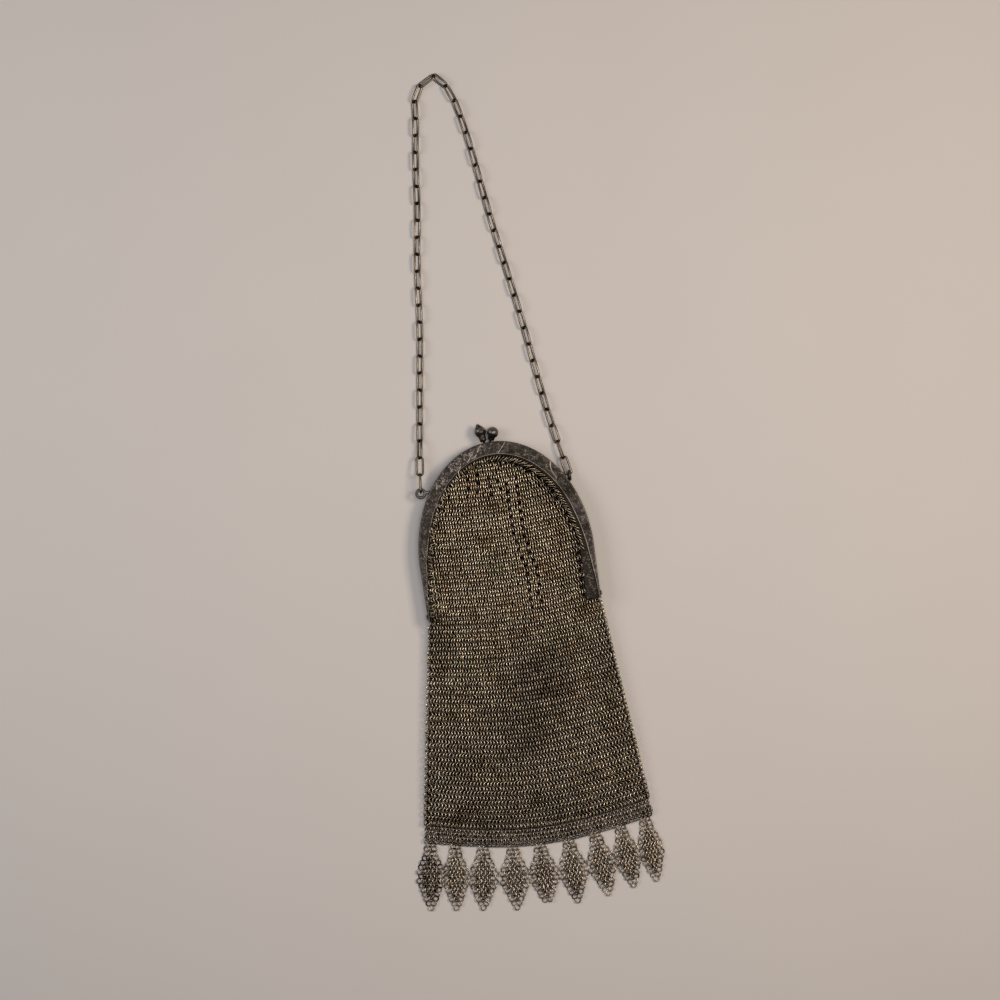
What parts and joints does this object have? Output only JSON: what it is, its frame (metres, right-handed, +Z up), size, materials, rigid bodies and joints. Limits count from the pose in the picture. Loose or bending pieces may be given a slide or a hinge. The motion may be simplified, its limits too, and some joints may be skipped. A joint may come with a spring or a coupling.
{
  "type": "metal mesh purse",
  "caption": "Flat-lying ring-mesh purse with an arched hinged frame, ball snap clasp, long oval-link chain handle and a fringe of pointed mesh diamonds.",
  "frame": {"origin": "middle of the footprint, on the surface that the purse lies on", "axes": "+Z up from the surface, +Y along the purse from the fringe towards the chain, +X to the right as seen from above"},
  "size_m": [0.1306, 0.4349, 0.0096],
  "materials": {
    "frame": "stamped nickel silver, engraved, dark tarnish",
    "rivet": "turned nickel silver, dark tarnish",
    "knob": "spun nickel silver ball, polished by handling, tarnished",
    "chain": "drawn nickel silver wire, worn and tarnished",
    "mesh": "fine nickel silver ring mesh, tarnished",
    "fringe": "larger nickel silver rings, single layer"
  },
  "bodies": {
    "root": {"front_frame_half": "frame", "back_frame_half": "frame", "hinge_rivet_left": "rivet", "hinge_rivet_right": "rivet", "clasp_knob_front": "knob", "clasp_knob_back": "knob", "chain": "chain", "mesh_bag": "mesh", "diamond_fringe": "fringe"}
  },
  "joints": []
}
